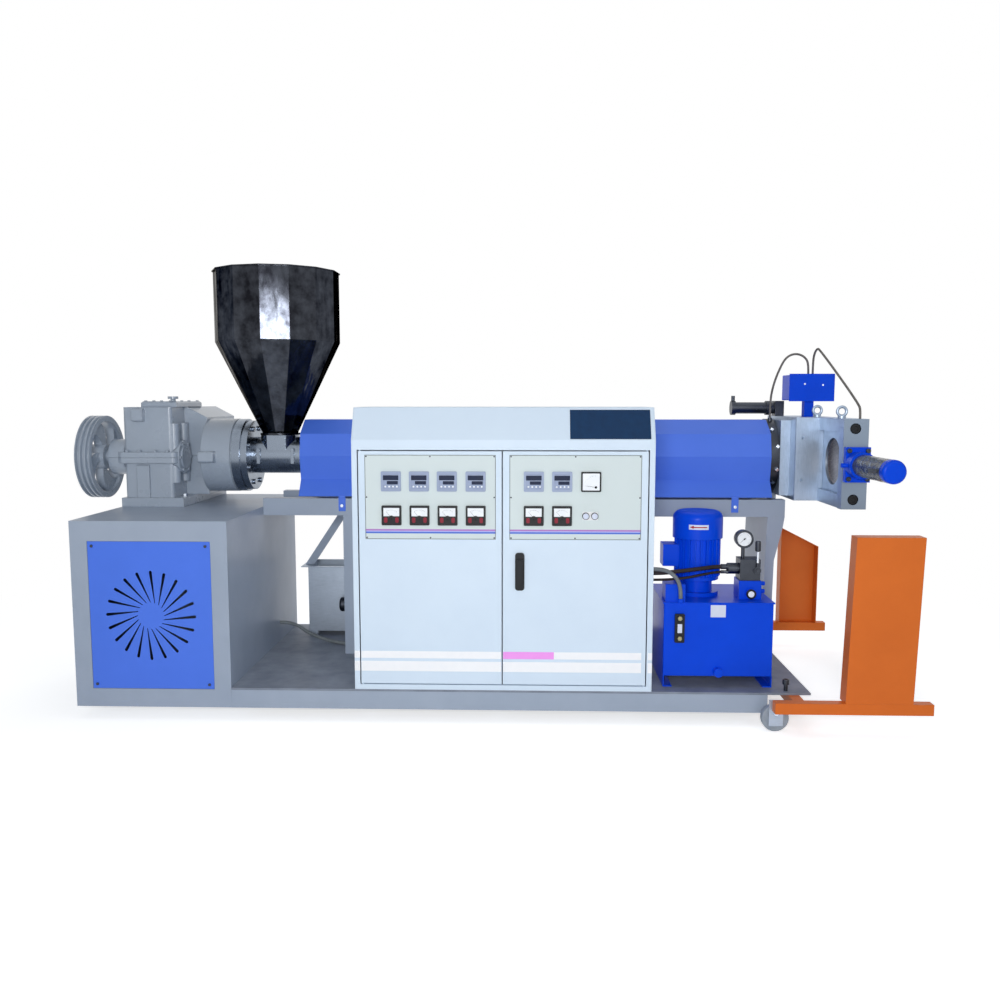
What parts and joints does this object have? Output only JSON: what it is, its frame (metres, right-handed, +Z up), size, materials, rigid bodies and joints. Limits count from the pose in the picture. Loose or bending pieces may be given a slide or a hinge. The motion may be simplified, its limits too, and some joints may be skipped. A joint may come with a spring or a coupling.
{
  "type": "plastic extruder",
  "caption": "Single screw plastic extruder with drive housing, gearbox, hopper, covered barrel, control cabinet, slide plate screen changer and hydraulic power pack.",
  "frame": {"origin": "on the floor under the middle of the whole machine", "axes": "+X along the barrel towards the die, +Y to the back, +Z up"},
  "size_m": [3.277, 1.405, 1.733],
  "materials": {
    "enamel_grey": "smooth semi gloss machine enamel",
    "platform_grey": "dark grey floor enamel, scuffed",
    "cast_grey": "grey enamel on cast iron, gloss",
    "light_blue": "light blue enamel on folded sheet",
    "deep_blue": "deep blue gloss enamel",
    "cabinet_white": "pale blue white powder coat",
    "panel_grey": "pale printed panel, satin",
    "orange": "orange enamel on folded sheet",
    "ground_steel": "ground machined steel",
    "dark_steel": "oiled dark steel",
    "mirror_steel": "mirror polished stainless sheet",
    "brushed_sheet": "brushed stainless sheet",
    "black_plastic": "black moulded plastic",
    "wheel_grey": "grey solid tyre",
    "cable_grey": "grey cable sheath",
    "hose_black": "black hose"
  },
  "bodies": {
    "machine": {"base_frame": "enamel_grey", "platform_plate": "platform_grey", "levelling_feet": "dark_steel", "drive_housing": "enamel_grey", "vent_panel": "light_blue", "gearbox_lower_case": "cast_grey", "gearbox_upper_case": "cast_grey", "inspection_cover": "cast_grey", "bearing_cap": "cast_grey", "gearbox_bell": "cast_grey", "thrust_flange": "ground_steel", "feed_barrel": "ground_steel", "hopper": "mirror_steel", "hopper_cone": "mirror_steel", "barrel": "ground_steel", "barrel_cover": "light_blue", "support_beams": "enamel_grey", "end_pedestal": "enamel_grey", "middle_support": "enamel_grey", "water_box": "brushed_sheet", "water_pump": "dark_steel", "cabinet_sides": "cabinet_white", "cabinet_back": "cabinet_white", "cabinet_floor": "cabinet_white", "cabinet_hood": "cabinet_white", "barrel_end_flange": "dark_steel", "adapter_plate": "ground_steel", "screen_changer_body": "ground_steel", "slide_frame": "ground_steel", "slide_cylinder": "deep_blue", "rear_cylinder": "dark_steel", "junction_box": "deep_blue", "oil_tank": "deep_blue", "pump_motor": "deep_blue", "valve_manifold": "deep_blue", "valve_block": "dark_steel", "pressure_gauge": "dark_steel", "level_gauge": "black_plastic", "stand_frame": "orange", "front_upright": "orange", "back_upright": "orange", "caster_brackets": "orange", "motor_cable": "cable_grey", "pump_conduit": "cable_grey", "upper_hose": "hose_black", "lower_hose": "hose_black", "front_lead": "cable_grey", "left_lead": "cable_grey"},
    "left_door": {"left_door": "cabinet_white", "left_panel": "panel_grey", "left_instruments": "black_plastic"},
    "right_door": {"right_door": "cabinet_white", "right_panel": "panel_grey", "right_instruments": "black_plastic", "door_handle": "black_plastic"},
    "slide": {"slide_plate": "ground_steel"},
    "valve_lever": {"valve_lever": "dark_steel"},
    "input_pulley": {"input_pulley": "cast_grey"},
    "front_wheel": {"front_wheel": "wheel_grey"},
    "rear_wheel": {"rear_wheel": "wheel_grey"}
  },
  "joints": [
    {"name": "left_door_hinge", "type": "hinge", "parent": "machine", "child": "left_door", "pos_m": [-0.4105, -0.4515, 0.6], "axis": [0, 0, -1], "range_deg": [0, 110]},
    {"name": "right_door_hinge", "type": "hinge", "parent": "machine", "child": "right_door", "pos_m": [0.6265, -0.4515, 0.6], "axis": [0, 0, 1], "range_deg": [0, 110]},
    {"name": "screen_slide", "type": "slide", "parent": "machine", "child": "slide", "axis": [0, 1, 0], "range_m": [0, 0.35]},
    {"name": "valve_lever_pivot", "type": "hinge", "parent": "machine", "child": "valve_lever", "pos_m": [1.0615, -0.3315, 0.556], "axis": [0, 1, 0], "range_deg": [-25, 25]},
    {"name": "pulley_spin", "type": "hinge", "parent": "machine", "child": "input_pulley", "pos_m": [-1.5765, 0.0725, 0.955], "axis": [1, 0, 0], "continuous": true},
    {"name": "front_wheel_spin", "type": "hinge", "parent": "machine", "child": "front_wheel", "pos_m": [1.0955, -0.5075, 0.049], "axis": [0, 1, 0], "continuous": true},
    {"name": "rear_wheel_spin", "type": "hinge", "parent": "machine", "child": "rear_wheel", "pos_m": [1.0955, 0.6425, 0.049], "axis": [0, 1, 0], "continuous": true}
  ]
}
